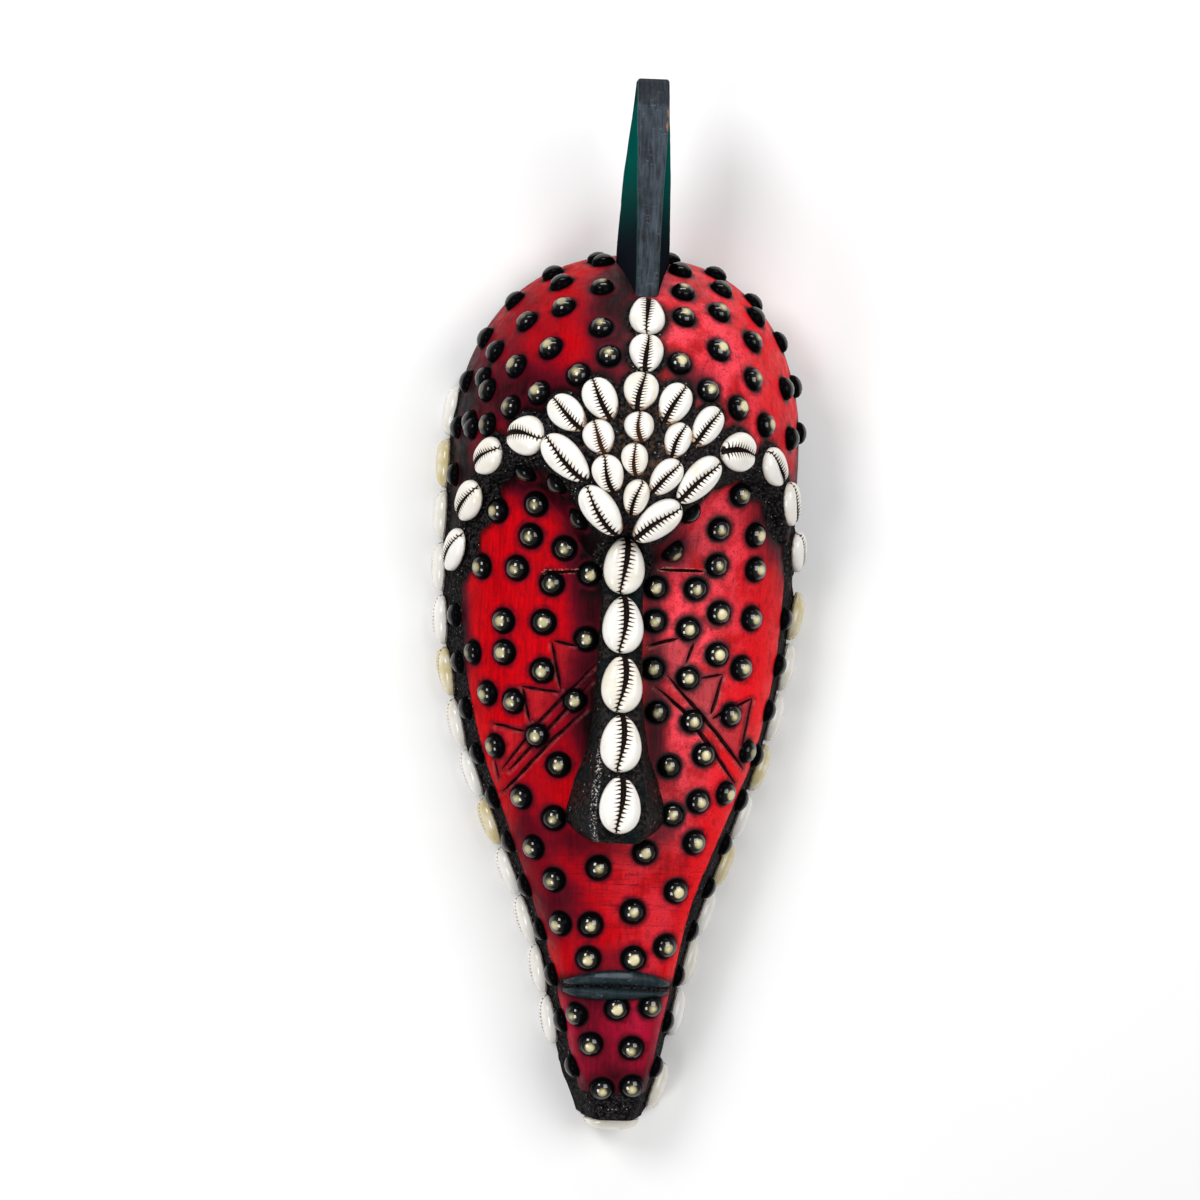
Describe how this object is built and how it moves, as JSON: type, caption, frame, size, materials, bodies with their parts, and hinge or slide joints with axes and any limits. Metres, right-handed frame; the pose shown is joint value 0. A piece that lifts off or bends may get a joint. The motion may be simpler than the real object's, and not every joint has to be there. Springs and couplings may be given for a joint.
{
  "type": "carved wooden face mask",
  "caption": "Hollowed wooden face mask with a domed brow, crest blade and long narrow face, studded with domed tacks and set with cowrie shells, to wear or hang.",
  "frame": {"origin": "middle of the mask's footprint, in the plane of its back rim", "axes": "+Z is the way the face looks, away from the back rim; +Y runs from the chin to the crest blade; +X is the right of someone who looks at the face"},
  "size_m": [0.1546, 0.4238, 0.0967],
  "materials": {
    "painted_wood": "worn satin paint: red face and forehead, black walls, nose and lips, slate blade",
    "cowrie_shell": "polished cream shell with a dark toothed slit",
    "lacquered_tack": "gloss black lacquer worn to brass at the top of each dome",
    "black_glue": "matt black glue full of sand"
  },
  "bodies": {
    "root": {"bridge_cowrie_left": "cowrie_shell", "bridge_cowrie_right": "cowrie_shell", "carved_mask": "painted_wood", "chin_cowrie": "cowrie_shell", "crest_cowrie_1": "cowrie_shell", "crest_cowrie_2": "cowrie_shell", "fan_cowrie_1_1": "cowrie_shell", "fan_cowrie_1_2": "cowrie_shell", "fan_cowrie_1_3": "cowrie_shell", "fan_cowrie_1_4": "cowrie_shell", "fan_cowrie_1_5": "cowrie_shell", "fan_cowrie_2_1": "cowrie_shell", "fan_cowrie_2_2": "cowrie_shell", "fan_cowrie_2_3": "cowrie_shell", "fan_cowrie_3_1": "cowrie_shell", "fan_cowrie_3_2": "cowrie_shell", "fan_cowrie_3_3": "cowrie_shell", "fan_cowrie_4_1": "cowrie_shell", "left_brow_cowrie_1": "cowrie_shell", "left_brow_cowrie_2": "cowrie_shell", "left_brow_cowrie_3": "cowrie_shell", "left_brow_cowrie_4": "cowrie_shell", "left_brow_cowrie_5": "cowrie_shell", "left_rim_cowrie_1": "cowrie_shell", "left_rim_cowrie_10": "cowrie_shell", "left_rim_cowrie_11": "cowrie_shell", "left_rim_cowrie_12": "cowrie_shell", "left_rim_cowrie_13": "cowrie_shell", "left_rim_cowrie_2": "cowrie_shell", "left_rim_cowrie_3": "cowrie_shell", "left_rim_cowrie_4": "cowrie_shell", "left_rim_cowrie_5": "cowrie_shell", "left_rim_cowrie_6": "cowrie_shell", "left_rim_cowrie_7": "cowrie_shell", "left_rim_cowrie_8": "cowrie_shell", "left_rim_cowrie_9": "cowrie_shell", "nose_cowrie_1": "cowrie_shell", "nose_cowrie_2": "cowrie_shell", "nose_cowrie_3": "cowrie_shell", "nose_cowrie_4": "cowrie_shell", "nose_cowrie_5": "cowrie_shell", "right_brow_cowrie_1": "cowrie_shell", "right_brow_cowrie_2": "cowrie_shell", "right_brow_cowrie_3": "cowrie_shell", "right_brow_cowrie_4": "cowrie_shell", "right_brow_cowrie_5": "cowrie_shell", "right_rim_cowrie_1": "cowrie_shell", "right_rim_cowrie_10": "cowrie_shell", "right_rim_cowrie_2": "cowrie_shell", "right_rim_cowrie_3": "cowrie_shell", "right_rim_cowrie_4": "cowrie_shell", "right_rim_cowrie_5": "cowrie_shell", "right_rim_cowrie_6": "cowrie_shell", "right_rim_cowrie_7": "cowrie_shell", "right_rim_cowrie_8": "cowrie_shell", "right_rim_cowrie_9": "cowrie_shell"}
  },
  "joints": []
}
